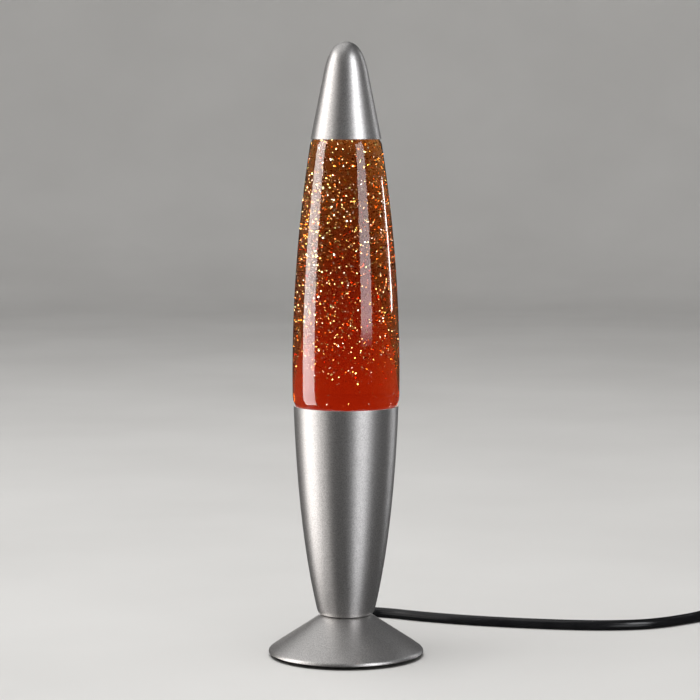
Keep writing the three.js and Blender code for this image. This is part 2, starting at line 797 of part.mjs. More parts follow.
function plugBody() {
  const shape = new THREE.Shape();
  const tail = 18;
  const end = tail + PLUG_LENGTH;
  shape.moveTo(tail, -5);
  shape.quadraticCurveTo(tail + 8, -12.5, tail + 18, -13);
  shape.lineTo(end, -13.5);
  shape.lineTo(end, 13.5);
  shape.lineTo(tail + 18, 13);
  shape.quadraticCurveTo(tail + 8, 12.5, tail, 5);
  const body = plate(shape, 0, PLUG_HEIGHT);
  const relief = turned([at(0, 0), at(3.8, 0), at(4.8, tail), at(4.8, tail + 4), at(0, tail + 4)], 16);
  relief.rotateY(Math.PI / 2).translate(0, 0, PLUG_HEIGHT / 2);
  const sockets = [-1, 1].map((side) =>
    plugPin(PIN_RADIUS + GAP, end - PIN_SOCKET, end + 2).translate(0, (side * PIN_SPACING) / 2, 0),
  );
  return cut(join(body, relief), ...sockets);
}

addPart('plug_body', plugBody(), blackPlastic, plug);
[-1, 1].forEach((side, i) => {
  const face = 18 + PLUG_LENGTH;
  const pin = plugPin(PIN_RADIUS, face - PIN_SOCKET + GAP, face + PIN_LENGTH);
  addPart(`plug_pin_${i + 1}`, pin.translate(0, (side * PIN_SPACING) / 2, 0), brass, plug);
});

export default lamp;
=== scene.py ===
"""A rocket-shaped glitter lamp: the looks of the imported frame, in a plain light studio.

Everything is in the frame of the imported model: +Z up, the origin on the table under the lamp's
axis, +Y the back. Outlines are (radius, height) points in millimetres, turned about the axis.
"""

import math
import random

import bmesh
import bpy
from mathutils import Euler, Matrix, Vector


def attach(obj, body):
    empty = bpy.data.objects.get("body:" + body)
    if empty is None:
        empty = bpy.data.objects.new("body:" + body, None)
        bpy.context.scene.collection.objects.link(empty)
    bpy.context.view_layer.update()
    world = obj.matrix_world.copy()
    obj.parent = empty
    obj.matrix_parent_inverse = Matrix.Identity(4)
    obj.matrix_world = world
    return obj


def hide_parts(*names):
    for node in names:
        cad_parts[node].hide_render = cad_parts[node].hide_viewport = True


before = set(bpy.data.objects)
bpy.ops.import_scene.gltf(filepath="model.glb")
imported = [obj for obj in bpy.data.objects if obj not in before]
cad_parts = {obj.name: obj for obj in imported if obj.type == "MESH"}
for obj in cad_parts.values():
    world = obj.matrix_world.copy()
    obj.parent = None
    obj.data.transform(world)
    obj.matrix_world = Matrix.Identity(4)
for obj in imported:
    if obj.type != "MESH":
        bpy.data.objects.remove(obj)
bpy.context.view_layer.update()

MM = 0.001
TAU = 2 * math.pi

# ---- Sizes that the pieces share, in millimetres ----

LAMP_HEIGHT = 350
CAP_EDGE_Z = 295
CAP_EDGE_RADIUS = 20.1
RIM_Z = 144
RIM_RADIUS = 29.87
NECK_Z = 23.8
FOOT_RADIUS = 44.4
FOOT_TOP_Z = 23.6
SHEET = 0.9
GLASS_WALL = 2.4
GLASS_BOTTOM_Z = 112
LIQUID_LEVEL = 302
HOLE_RADIUS = 5.2
CORD_EXIT_TURN = math.radians(8)
CORD_EXIT_Z = 5.2
ROUND_SIDES = 128
SMALL_SIDES = 48


# ---- Camera: level with the cap, looking slightly down ----

CAMERA_PLACE = (0, -1.450, 0.3067)
CAMERA_PITCH = math.radians(5.165)
CAMERA_LENS = 131.7
LAMP_LEFT_OF_CENTRE = 1 / 175  # the lamp stands this share of the width left of the middle


def make_camera():
    data = bpy.data.cameras.new("camera")
    data.sensor_width = 36
    data.lens = CAMERA_LENS
    data.shift_x = LAMP_LEFT_OF_CENTRE
    data.clip_end = 50
    camera = bpy.data.objects.new("camera", data)
    camera.location = CAMERA_PLACE
    camera.rotation_euler = (math.pi / 2 - CAMERA_PITCH, 0, 0)
    bpy.context.scene.collection.objects.link(camera)
    bpy.context.scene.camera = camera


# ---- Material helpers ----


class Surface:
    """A node material, with short ways to add what varies over the surface."""

    def __init__(self, name, color, roughness, metallic=0.0):
        self.material = bpy.data.materials.new(name)
        self.material.use_nodes = True
        self.nodes = self.material.node_tree.nodes
        self.links = self.material.node_tree.links
        self.shader = self.nodes["Principled BSDF"]
        self.set("Base Color", (*color, 1))
        self.set("Roughness", roughness)
        self.set("Metallic", metallic)

    def set(self, socket, value):
        self.shader.inputs[socket].default_value = value

    def noise(self, per_metre, detail=2.0, stretch=(1, 1, 1)):
        """The factor of a noise whose cells are about 1 / per_metre wide."""
        place = self.nodes.new("ShaderNodeTexCoord")
        mapping = self.nodes.new("ShaderNodeMapping")
        mapping.inputs["Scale"].default_value = stretch
        texture = self.nodes.new("ShaderNodeTexNoise")
        texture.inputs["Scale"].default_value = per_metre
        texture.inputs["Detail"].default_value = detail
        self.links.new(place.outputs["Object"], mapping.inputs["Vector"])
        self.links.new(mapping.outputs["Vector"], texture.inputs["Vector"])
        return texture.outputs["Fac"]

    def spread(self, factor, low, high):
        """The factor's middle range, from 0.35 to 0.65, spread from low to high."""
        ramp = self.nodes.new("ShaderNodeMapRange")
        ramp.inputs["From Min"].default_value = 0.35
        ramp.inputs["From Max"].default_value = 0.65
        ramp.inputs["To Min"].default_value = low
        ramp.inputs["To Max"].default_value = high
        self.links.new(factor, ramp.inputs["Value"])
        return ramp.outputs["Result"]

    def vary(self, socket, factor, low, high):
        self.links.new(self.spread(factor, low, high), self.shader.inputs[socket])

    def tint(self, factor, first, second):
        mix = self.nodes.new("ShaderNodeMix")
        mix.data_type = "RGBA"
        mix.inputs[6].default_value = (*first, 1)
        mix.inputs[7].default_value = (*second, 1)
        self.links.new(self.spread(factor, 0, 1), mix.inputs[0])
        self.links.new(mix.outputs[2], self.shader.inputs["Base Color"])

    def absorb(self, color, per_metre):
        """Colour that deepens with the way through the material."""
        dye = self.nodes.new("ShaderNodeVolumeAbsorption")
        dye.inputs["Color"].default_value = (*color, 1)
        dye.inputs["Density"].default_value = per_metre
        self.links.new(dye.outputs["Volume"], self.nodes["Material Output"].inputs["Volume"])

    def bump(self, factor, strength, depth_mm):
        bump = self.nodes.new("ShaderNodeBump")
        bump.inputs["Strength"].default_value = strength
        bump.inputs["Distance"].default_value = depth_mm * MM
        self.links.new(factor, bump.inputs["Height"])
        self.links.new(bump.outputs["Normal"], self.shader.inputs["Normal"])


def silver_paint():
    """Satin silver on spun aluminium: a fine metallic grain, a little uneven in gloss."""
    paint = Surface("silver_paint", (0.62, 0.6, 0.585), 0.38, 0.92)
    grain = paint.noise(1700, 3)
    paint.tint(grain, (0.5, 0.485, 0.475), (0.74, 0.725, 0.71))
    paint.vary("Roughness", paint.noise(700, 4), 0.35, 0.41)
    paint.bump(grain, 0.5, 0.06)
    return paint.material


def clear_glass(name="clear_glass", mirrors=(1, 1, 1)):
    """Bottle glass. Where liquid wets it there is no mirror, because the two bend light alike."""
    glass = Surface(name, (0.99, 0.975, 0.96), 0.0)
    glass.set("Transmission Weight", 1)
    glass.set("IOR", 1.5)
    glass.set("Specular Tint", (*mirrors, 1))
    glass.vary("Roughness", glass.noise(60, 3), 0.0, 0.012)
    return glass.material


def dyed_liquid():
    """Clear orange-red water. Its dye takes out blue and green within a few centimetres."""
    liquid = Surface("dyed_liquid", (1, 1, 1), 0.0)
    liquid.set("Transmission Weight", 1)
    liquid.set("IOR", 1.36)
    liquid.set("Specular Tint", (0, 0, 0, 1))
    liquid.absorb((0.8, 0.47, 0.0), 124)
    return liquid.material


PAINTED_GLOW_STARTS = 115 * MM  # the painted glow is full below this height and gone at the next
PAINTED_GLOW_ENDS = 262 * MM
PAINTED_GLOW_STRENGTH = 0.235


def dye_with_painted_glow():
    """Deeper red dye low in the bottle, in the same liquid, with a painted red glow that fades
    upwards in place of the bulb's light.
    """
    dye_and_painted_glow = Surface("dye_with_painted_glow", (1, 1, 1), 0.0)
    dye_and_painted_glow.set("Transmission Weight", 1)
    dye_and_painted_glow.set("IOR", 1.0)
    dye_and_painted_glow.set("Specular Tint", (0, 0, 0, 1))
    dye_and_painted_glow.absorb((1.0, 0.0, 0.0), 10)
    place = dye_and_painted_glow.nodes.new("ShaderNodeTexCoord")
    parts = dye_and_painted_glow.nodes.new("ShaderNodeSeparateXYZ")
    painted_glow_ramp = dye_and_painted_glow.nodes.new("ShaderNodeMapRange")
    painted_glow_ramp.interpolation_type = "SMOOTHSTEP"
    painted_glow_ramp.inputs["From Min"].default_value = PAINTED_GLOW_STARTS
    painted_glow_ramp.inputs["From Max"].default_value = PAINTED_GLOW_ENDS
    painted_glow_ramp.inputs["To Min"].default_value = PAINTED_GLOW_STRENGTH
    painted_glow_ramp.inputs["To Max"].default_value = 0.0
    dye_and_painted_glow.links.new(place.outputs["Object"], parts.inputs["Vector"])
    dye_and_painted_glow.links.new(parts.outputs["Z"], painted_glow_ramp.inputs["Value"])
    # Painted glow: red emission on this mound's surface, strongest low down, stands in for the
    # bulb's light in the liquid.
    dye_and_painted_glow.set("Emission Color", (1.0, 0.04, 0.004, 1))
    dye_and_painted_glow.links.new(painted_glow_ramp.outputs["Result"], dye_and_painted_glow.shader.inputs["Emission Strength"])
    return dye_and_painted_glow.material


def cup_lining():
    """The thin grey primer inside the spun base."""
    lining = Surface("cup_lining", (0.55, 0.54, 0.52), 0.5)
    lining.tint(lining.noise(300, 3), (0.48, 0.47, 0.45), (0.6, 0.59, 0.57))
    lining.bump(lining.noise(1200, 2), 0.2, 0.04)
    return lining.material


def glitter_film(name, color, roughness):
    """Metallised film, a little creased."""
    film = Surface(name, color, roughness, 1.0)
    film.vary("Roughness", film.noise(1500, 2), roughness * 0.7, roughness * 1.4)
    return film.material


def moulded(name, color, roughness, grain=1800, depth_mm=0.03):
    """Moulded plastic with a fine spark-eroded texture."""
    plastic = Surface(name, color, roughness)
    texture = plastic.noise(grain, 3)
    lighter = tuple(min(1.0, c * 1.25 + 0.002) for c in color)
    plastic.tint(plastic.noise(90, 3), color, lighter)
    plastic.vary("Roughness", texture, roughness * 0.85, min(1.0, roughness * 1.15))
    plastic.bump(texture, 0.25, depth_mm)
    return plastic.material


def plated(name, color, roughness, grain=1200):
    """A plated or bright metal with fine drawing marks."""
    metal = Surface(name, color, roughness, 1.0)
    marks = metal.noise(grain, 3, (1, 1, 0.15))
    darker = tuple(c * 0.82 for c in color)
    metal.tint(metal.noise(260, 4), darker, color)
    metal.vary("Roughness", marks, roughness * 0.8, roughness * 1.25)
    metal.bump(marks, 0.1, 0.03)
    return metal.material


def frosted_glow():
    """The frosted face of the bulb, lit from inside."""
    face = Surface("frosted_glow", (0.95, 0.93, 0.88), 0.6)
    face.vary("Roughness", face.noise(500, 3), 0.5, 0.7)
    face.set("Emission Color", (1.0, 0.72, 0.42, 1))
    face.set("Emission Strength", 4.5)
    return face.material


SURFACES = {
    "silver_paint": silver_paint(),
    "clear_glass": clear_glass(),
    "dyed_liquid": dyed_liquid(),
    "white_plastic": moulded("white_plastic", (0.8, 0.79, 0.75), 0.4),
    "black_rubber": moulded("black_rubber", (0.018, 0.018, 0.019), 0.62, 2400, 0.05),
    "black_plastic": moulded("black_plastic", (0.014, 0.014, 0.015), 0.36),
    "zinc_steel": plated("zinc_steel", (0.66, 0.67, 0.68), 0.32),
    "brass": plated("brass", (0.78, 0.6, 0.28), 0.28),
    "fibre": moulded("fibre", (0.3, 0.12, 0.06), 0.8, 900, 0.1),
    "ceramic": moulded("ceramic", (0.82, 0.79, 0.73), 0.35, 500, 0.04),
    "silvered_glass": plated("silvered_glass", (0.86, 0.87, 0.89), 0.1, 300),
    "cord_black": moulded("cord_black", (0.008, 0.008, 0.009), 0.2, 1500, 0.003),
    "core_brown": moulded("core_brown", (0.13, 0.05, 0.02), 0.4),
    "core_blue": moulded("core_blue", (0.03, 0.09, 0.38), 0.4),
}


# ---- Mesh helpers ----


def bend(start, control, end, steps):
    """Points along a quadratic curve, both ends included."""
    points = []
    for i in range(steps + 1):
        t = i / steps
        a, b, c = (1 - t) ** 2, 2 * t * (1 - t), t * t
        points.append(tuple(a * p + b * q + c * r for p, q, r in zip(start, control, end)))
    return points


SAME_POINT = 1e-5  # points nearer than this are one


def rounded(points, closed=False, steps=4):
    """An outline whose corners given as (x, y, radius) are rounded over that distance."""
    made = []
    count = len(points)
    for i, point in enumerate(points):
        here = Vector(point[:2])
        if len(point) < 3 or (not closed and i in (0, count - 1)):
            made.append(tuple(here))
            continue
        before = Vector(points[i - 1][:2]) - here
        after = Vector(points[(i + 1) % count][:2]) - here
        start = here + before.normalized() * min(point[2], before.length / 2)
        end = here + after.normalized() * min(point[2], after.length / 2)
        made += bend(start, here, end, steps)
    return [p for i, p in enumerate(made) if i == 0 or math.dist(p, made[i - 1]) > SAME_POINT]


def moved(points, dx, dy):
    return [(p[0] + dx, p[1] + dy) for p in points]


SHARP_FROM = math.radians(38)  # edges that turn more than this stay crisp


def new_piece(name, bm, slot, body, replaces=(), surfaces=None):
    """An object from a bmesh in millimetres, riding on a body in place of its CAD nodes."""
    bmesh.ops.remove_doubles(bm, verts=bm.verts, dist=1e-4)
    bmesh.ops.recalc_face_normals(bm, faces=bm.faces)
    bm.transform(Matrix.Scale(MM, 4))
    mesh = bpy.data.meshes.new(name)
    bm.to_mesh(mesh)
    bm.free()
    mesh.shade_smooth()
    mesh.set_sharp_from_angle(angle=SHARP_FROM)
    for surface in surfaces or [SURFACES[slot]]:
        mesh.materials.append(surface)
    piece = bpy.data.objects.new(name, mesh)
    bpy.context.scene.collection.objects.link(piece)
    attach(piece, body)
    if replaces:
        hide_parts(*replaces)
    return piece


def ring_of(bm, radius, height, sides):
    if radius < 1e-6:
        return [bm.verts.new((0, 0, height))]
    angles = [TAU * i / sides for i in range(sides)]
    return [bm.verts.new((radius * math.cos(a), radius * math.sin(a), height)) for a in angles]


def join_rings(bm, low, high):
    """Faces between two rings; either may be a single point."""
    count = max(len(low), len(high))
    for i in range(count):
        j = (i + 1) % count
        corners = [low[i % len(low)], low[j % len(low)], high[j % len(high)], high[i % len(high)]]
        bm.faces.new(list(dict.fromkeys(corners)))


def turned(outline, sides=ROUND_SIDES, closed=False):
    """A bmesh of an outline turned about Z; a closed one goes round a hollow axis."""
    bm = bmesh.new()
    rings = [ring_of(bm, r, z, sides) for r, z in outline]
    pairs = list(zip(rings, rings[1:]))
    if closed:
        pairs.append((rings[-1], rings[0]))
    for low, high in pairs:
        join_rings(bm, low, high)
    return bm


def inset(points, distance):
    """A closed outline, counter-clockwise, with each corner moved in by that distance."""
    made = []
    for i, point in enumerate(points):
        here = Vector(point)
        before = (here - Vector(points[i - 1])).normalized()
        after = (Vector(points[(i + 1) % len(points)]) - here).normalized()
        inward = Vector((-before.y - after.y, before.x + after.x))
        share = max(0.3, (1 + before.dot(after)) / 2) ** 0.5
        made.append(here + inward.normalized() * (distance / share))
    return made


def slab(points, profile):
    """A bmesh of a flat outline, stacked up through (inset, height) steps."""
    bm = bmesh.new()
    rings = []
    for distance, height in profile:
        rings.append([bm.verts.new((p[0], p[1], height)) for p in inset(points, distance)])
    for low, high in zip(rings, rings[1:]):
        join_rings(bm, low, high)
    bm.faces.new(rings[0])
    bm.faces.new(rings[-1])
    return bm


def block(low, high):
    bm = bmesh.new()
    bmesh.ops.create_cube(bm, size=1)
    size = Vector(high) - Vector(low)
    middle = (Vector(high) + Vector(low)) / 2
    bm.transform(Matrix.Translation(middle) @ Matrix.Diagonal((*size, 1)))
    return bm


def cut(bm, *tools):
    """The bmesh with each tool taken out of it. Both are used up."""
    for tool in tools:
        left, right = (bpy.data.meshes.new("cut") for _ in range(2))
        for mesh, source in ((left, bm), (right, tool)):
            bmesh.ops.recalc_face_normals(source, faces=source.faces)
            source.to_mesh(mesh)
            source.free()
        piece = bpy.data.objects.new("cut", left)
        cutter = bpy.data.objects.new("cutter", right)
        for o in (piece, cutter):
            bpy.context.scene.collection.objects.link(o)
        modifier = piece.modifiers.new("cut", "BOOLEAN")
        modifier.object = cutter
        modifier.solver = "EXACT"
        graph = bpy.context.evaluated_depsgraph_get()
        result = bpy.data.meshes.new_from_object(piece.evaluated_get(graph))
        bm = bmesh.new()
        bm.from_mesh(result)
        for o in (piece, cutter):
            bpy.data.objects.remove(o)
        for mesh in (left, right, result):
            bpy.data.meshes.remove(mesh)
    return bm


def placed(bm, matrix):
    bm.transform(matrix)
    return bm


def merged(*parts):
    """One bmesh of several."""
    bm = bmesh.new()
    for part in parts:
        mesh = bpy.data.meshes.new("part")
        part.to_mesh(mesh)
        part.free()
        bm.from_mesh(mesh)
        bpy.data.meshes.remove(mesh)
    return bm


# ---- The cord: the CAD's route in metres, with the coil's turns by a formula ----

CORD_RADIUS = 0.003
ROUTE_TO_SWITCH = [
    (-0.0102, 0.0726, 0.0051),
    (-0.0113, 0.08, 0.0042),
    (-0.0118, 0.088, 0.0033),
    (-0.0095, 0.098, 0.003),
    (-0.003, 0.1068, 0.003),
    (0.006, 0.1115, 0.003),
    (0.016, 0.112, 0.003),
    (0.026, 0.109, 0.003),
    (0.042, 0.1005, 0.003),
    (0.058, 0.093, 0.003),
    (0.075, 0.0864, 0.003),
    (0.094, 0.0806, 0.003),
    (0.117, 0.075, 0.003),
    (0.141, 0.071, 0.003),
    (0.162, 0.0706, 0.003),
    (0.179, 0.0736, 0.003),
    (0.193, 0.08, 0.003),
    (0.205, 0.0885, 0.003),
    (0.216, 0.0966, 0.0034),
    (0.226, 0.1014, 0.0052),
    (0.2372, 0.1035, 0.0077),
]
THROUGH_SWITCH = [(0.25, 0.104, 0.008), (0.288, 0.104, 0.008)]
ROUTE_TO_COIL = [
    (0.3008, 0.104, 0.0077),
    (0.308, 0.103, 0.0062),
    (0.317, 0.0985, 0.0042),
    (0.324, 0.0905, 0.0032),
    (0.3272, 0.079, 0.003),
    (0.3272, 0.0698, 0.003),
]
ROUTE_TO_PLUG = [
    (0.3272, 0.0222, 0.0082),
    (0.3266, 0.0115, 0.0062),
    (0.3236, 0.0, 0.0044),
    (0.3166, -0.011, 0.0034),
    (0.306, -0.0186, 0.0036),
    (0.295, -0.0209, 0.0054),
    (0.2874, -0.021, 0.0068),
]
INTO_PLUG = [(0.278, -0.021, 0.007), (0.268, -0.021, 0.007)]
COIL_MIDDLE = Vector((0.288, 0.046, 0))
COIL_TURNS = 5
TURN_POINTS = 16
COIL_OUTER = 0.0392  # the cord's centreline in the outermost turn
CLIMB_TURNS = 1 / 6  # the share of a turn in which the cord climbs to the upper layer
TIE_TURN = math.radians(200)
TIE_SHEET = 0.0009
TIE_HALF = 0.25  # the coil rests on the tie's sheet over this angle to each side
TIE_FADE = 0.6  # and comes down to the table over this one


def smooth(t):
    t = max(0.0, min(1.0, t))
    return t * t * (3 - 2 * t)


def coil_point(turns):
    """Clockwise from +X: in along the table, up at the middle, then out over the lower layer."""
    diameter = 2 * CORD_RADIUS
    half = COIL_TURNS / 2
    radius = COIL_OUTER - diameter * (half - abs(turns - half))
    climb = smooth((turns - half) / CLIMB_TURNS + 0.5)
    angle = -TAU * turns
    past_tie = math.remainder(angle - TIE_TURN, TAU)
    lift = TIE_SHEET * (1 - smooth((abs(past_tie) - TIE_HALF) / TIE_FADE))
    height = CORD_RADIUS + diameter * climb + lift
    return COIL_MIDDLE + Vector((radius * math.cos(angle), radius * math.sin(angle), height))


def cord_route():
    coil = [coil_point(i / TURN_POINTS) for i in range(COIL_TURNS * TURN_POINTS + 1)]
    return [
        *ROUTE_TO_SWITCH,
        *THROUGH_SWITCH,
        *ROUTE_TO_COIL,
        *coil,
        *ROUTE_TO_PLUG,
        *INTO_PLUG,
    ]


def make_cord():
    """A round black lead on one smooth curve through the route's points."""
    route = cord_route()
    data = bpy.data.curves.new("cord", "CURVE")
    data.dimensions = "3D"
    spline = data.splines.new("BEZIER")
    spline.bezier_points.add(len(route) - 1)
    for knot, point in zip(spline.bezier_points, route):
        knot.co = point
        knot.handle_left_type = knot.handle_right_type = "AUTO"
    data.bevel_depth = CORD_RADIUS
    data.bevel_resolution = 5
    data.resolution_u = 8
    data.use_fill_caps = True
    data.materials.append(SURFACES["cord_black"])
    cord = bpy.data.objects.new("mains_cord", data)
    bpy.context.scene.collection.objects.link(cord)
    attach(cord, "base")
    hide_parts("cord_to_switch", "cord_to_coil", "cord_coil", "cord_to_plug")
    return cord


def make_strain_relief():
    """A bush in the foot's slot, a collar and a tapered tail with ribs cut round it."""
    outline = [(0, 33), (4.4, 33, 0.4), (4.4, 45), (5, 45, 0.4), (5, 46.8, 0.5), (4.3, 47.6)]
    ribs, start, end = 8, 48.6, 72
    pitch = (end - start) / ribs
    for i in range(ribs):
        at = start + i * pitch
        wide = 4.3 - 0.6 * (at - start) / (end - start)
        outline += [(wide, at), (wide, at + pitch * 0.62, 0.3)]
        outline += [(wide - 0.75, at + pitch * 0.72), (wide - 0.75, at + pitch * 0.9)]
    outline += [(3.7, end), (3.7, 73, 0.3), (0, 73)]
    bm = turned(rounded(outline, steps=2), SMALL_SIDES)
    along = Matrix.Rotation(CORD_EXIT_TURN, 4, "Z") @ Matrix.Rotation(-math.pi / 2, 4, "X")
    placed(bm, Matrix.Translation((0, 0, CORD_EXIT_Z)) @ along)
    return new_piece("cord_strain_relief", bm, "black_rubber", "base", ["strain_relief"])


# ---- The in-line switch, its rocker, the tie and the plug ----

SWITCH_MIDDLE = Matrix.Translation((269, 104, 0))
SWITCH_LENGTH = 62
SWITCH_WIDTH = 24
SWITCH_HEIGHT = 16
SWITCH_SEAM_Z = 8
ROCKER_PIVOT_Z = 12
ROCKER_LENGTH = 19.2
ROCKER_WIDTH = 10.8
ROCKER_TILT = math.radians(9)


def switch_outline():
    """Counter-clockwise, with ends that narrow to the cord."""
    end, end_y, side, side_y = SWITCH_LENGTH / 2, 6.5, 20, SWITCH_WIDTH / 2
    right = bend((side, -side_y), (end - 2, -side_y), (end, -end_y), 8)
    right += bend((end, end_y), (end - 2, side_y), (side, side_y), 8)
    return right + [(-x, -y) for x, y in right]


def switch_cord_hole():
    bm = turned([(0, -40), (3.3, -40), (3.3, 40), (0, 40)], SMALL_SIDES)
    turn = Matrix.Rotation(math.pi / 2, 4, "Y")
    return placed(bm, Matrix.Translation((0, 0, SWITCH_SEAM_Z)) @ turn)


def make_switch():
    shape = switch_outline()
    low = slab(shape, [(1.6, 0), (0.5, 0.5), (0, 1.8), (0, 7.6), (0.3, 7.9)])
    low = cut(low, block((-22, -5.8, 2), (22, 5.8, 9)), switch_cord_hole())
    top = SWITCH_HEIGHT
    profile = [(0.3, 8.1), (0, 8.4), (0, top - 3), (0.35, top - 1.6), (1.2, top - 0.6)]
    high = slab(shape, [*profile, (2.6, top - 0.1), (4, top)])
    half = Vector((ROCKER_LENGTH / 2 + 1, ROCKER_WIDTH / 2 + 0.4))
    opening = block((-half.x, -half.y, 5), (half.x, half.y, top + 1))
    high = cut(high, block((-22, -5.8, 0), (22, 5.8, top - 2)), opening, switch_cord_hole())
    return [
        new_piece(name, placed(bm, SWITCH_MIDDLE), "black_plastic", "base", [node])
        for name, bm, node in (
            ("switch_base_half", low, "switch_lower_shell"),
            ("switch_top_half", high, "switch_upper_shell"),
        )
    ]


def make_rocker():
    """A rocker with a dished top, extruded across the switch and softened at its edges."""
    half = ROCKER_LENGTH / 2
    dish = bend((half, 4.4), (0, 1.9), (-half, 4.4), 12)
    under = [(-5, -2.6), (5, -2.6), (half, 1.2)]
    outline = [*under, (half, 4.4, 0.8), *dish[1:-1], (-half, 4.4, 0.8), (-half, 1.2)]
    outline = rounded(outline, closed=True)
    edge = ROCKER_WIDTH / 2
    bm = slab(outline, [(0.4, -edge), (0, 0.4 - edge), (0, edge - 0.4), (0.4, edge)])
    stand = Matrix.Rotation(math.pi / 2, 4, "X")
    tilt = Matrix.Rotation(-ROCKER_TILT, 4, "Y")
    place = SWITCH_MIDDLE @ Matrix.Translation((0, 0, ROCKER_PIVOT_Z))
    bm = placed(bm, place @ tilt @ stand)
    return new_piece("rocker", bm, "black_plastic", "rocker", ["switch_rocker"])


def make_tie():
    """A flat band round the coil's section."""
    inner, outer, top = 20.6, 42.6, 13.0
    sheet = TIE_SHEET / MM
    section = rounded(
        [(inner, sheet, 3), (outer, sheet, 3), (outer, top, 3), (inner, top, 3)],
        closed=True,
        steps=6,
    )
    bm = bmesh.new()
    loops = []
    for width, away in ((-4.5, 0), (-4.5, -sheet), (4.5, -sheet), (4.5, 0)):
        loops.append([bm.verts.new((p.x, width, p.y)) for p in inset(section, away)])
    for first, second in zip(loops, loops[1:] + loops[:1]):
        join_rings(bm, first, second)
    place = Matrix.Translation(COIL_MIDDLE / MM) @ Matrix.Rotation(TIE_TURN, 4, "Z")
    return new_piece("coil_tie", placed(bm, place), "black_plastic", "base", ["cord_tie"])


PLUG_TAIL = 18
PLUG_FACE = PLUG_TAIL + 36
PLUG_HEIGHT = 14
PIN_SPACING = 19
PLUG_PLACE = Matrix.Translation((286.8, -21, 0)) @ Matrix.Rotation(math.pi, 4, "Z")


def make_plug():
    """A flat moulded body with finger grooves, and a ribbed tail on the cord."""
    side = bend((PLUG_TAIL, -5), (PLUG_TAIL + 8, -12.5), (PLUG_TAIL + 17, -13), 8)
    for i in range(3):
        x = PLUG_TAIL + 19 + i * 4
        side += bend((x, -13.1), (x + 1.6, -11.9), (x + 3.2, -13.1), 4)
    side.append((PLUG_FACE, -13.5))
    shape = side + [(x, -y) for x, y in reversed(side)]
    body = slab(shape, [(2.6, 0), (0.9, 0.7), (0, 2.6), (0, 11.4), (0.9, 13.3), (2.6, PLUG_HEIGHT)])
    tail = [(0, 0), (3.8, 0, 0.5)]
    for i in range(5):
        x, wide = 1.5 + i * 3.1, 3.8 + i * 0.22
        tail += [(wide, x), (wide, x + 1.9, 0.3), (wide - 0.6, x + 2.2), (wide - 0.6, x + 2.9)]
    tail += [(4.8, PLUG_TAIL - 1), (4.8, PLUG_TAIL + 4), (0, PLUG_TAIL + 4)]
    relief = turned(rounded(tail, steps=2), SMALL_SIDES)
    along = Matrix.Translation((0, 0, PLUG_HEIGHT / 2)) @ Matrix.Rotation(math.pi / 2, 4, "Y")
    bm = placed(merged(body, placed(relief, along)), PLUG_PLACE)
    return new_piece("mains_plug", bm, "black_plastic", "base", ["plug_body"])


def make_pins():
    """Round pins, sleeved in black for half their length."""
    pins = []
    for i, side in enumerate((-1, 1)):
        outline = [(0, PLUG_FACE - 5.7), (1.95, PLUG_FACE - 5.7), (1.95, PLUG_FACE + 10)]
        outline += [(1.85, PLUG_FACE + 10.1), (1.9, PLUG_FACE + 19, 0.9), (0, PLUG_FACE + 19)]
        bm = turned(rounded(outline), SMALL_SIDES)
        for face in bm.faces:
            face.material_index = int(face.calc_center_median().z < PLUG_FACE + 10)
        along = Matrix.Rotation(math.pi / 2, 4, "Y")
        aside = Matrix.Translation((0, side * PIN_SPACING / 2, PLUG_HEIGHT / 2))
        surfaces = [SURFACES["brass"], SURFACES["black_plastic"]]
        placed(bm, PLUG_PLACE @ aside @ along)
        node = f"plug_pin_{i + 1}"
        pins.append(new_piece(f"mains_pin_{i + 1}", bm, "brass", "base", [node], surfaces))
    return pins


# ---- The lamp's turned pieces ----


def make_top_cap():
    """A spun cone that closes in a blunt dome, with its lower edge rolled smooth."""
    shoulder = (12.45, 333)
    slope = (CAP_EDGE_RADIUS - shoulder[0]) / (shoulder[1] - CAP_EDGE_Z)
    tip_radius = CAP_EDGE_RADIUS - (LAMP_HEIGHT - CAP_EDGE_Z) * slope
    dome = bend(shoulder, (tip_radius, LAMP_HEIGHT), (0, LAMP_HEIGHT), 24)
    inner = (shoulder[0] - SHEET, shoulder[1])
    inside = bend((0, LAMP_HEIGHT - SHEET), (tip_radius - SHEET, LAMP_HEIGHT - SHEET), inner, 16)
    edge = [(CAP_EDGE_RADIUS - SHEET, CAP_EDGE_Z, 0.35), (CAP_EDGE_RADIUS, CAP_EDGE_Z, 0.5)]
    bm = turned(rounded(inside + edge + dome))
    new_piece("cap_shell", bm, "silver_paint", "top_cap", ["top_cap"])


# The bottle's visible side: a curve from its shoulder on the rim to the one under the cap
SIDE_LOW = (30.4, 150)
SIDE_PULL = (31.33, 222.4)
SIDE_HIGH = (20.2, 292.6)


def glass_side(steps):
    return bend(SIDE_LOW, SIDE_PULL, SIDE_HIGH, steps)


def bottle_top(neck, wall):
    under_cap = [(18.7 - wall, CAP_EDGE_Z + 0.3), (17.2 - wall, 302)]
    return under_cap + bend((16.6 - wall, 304.5), (neck, 305.5), (neck, 309), 8)


def bottle_inside(wall):
    floor = GLASS_BOTTOM_Z + 3 + wall - GLASS_WALL
    low = bend((18, floor), (25.6 - wall, floor), (25.9 - wall, floor + 6), 8)
    side = moved(glass_side(32), -wall, 0)
    return [(0, floor), *low, (28.3 - wall, 143), *side, *bottle_top(10.4 - wall, wall)]


def outer_radius(outline, z):
    """The radius of an upward outline at a height."""
    for (r0, z0), (r1, z1) in zip(outline, outline[1:]):
        if z0 <= z <= z1 and z1 > z0:
            return r0 + (r1 - r0) * (z - z0) / (z1 - z0)
    return 0.0


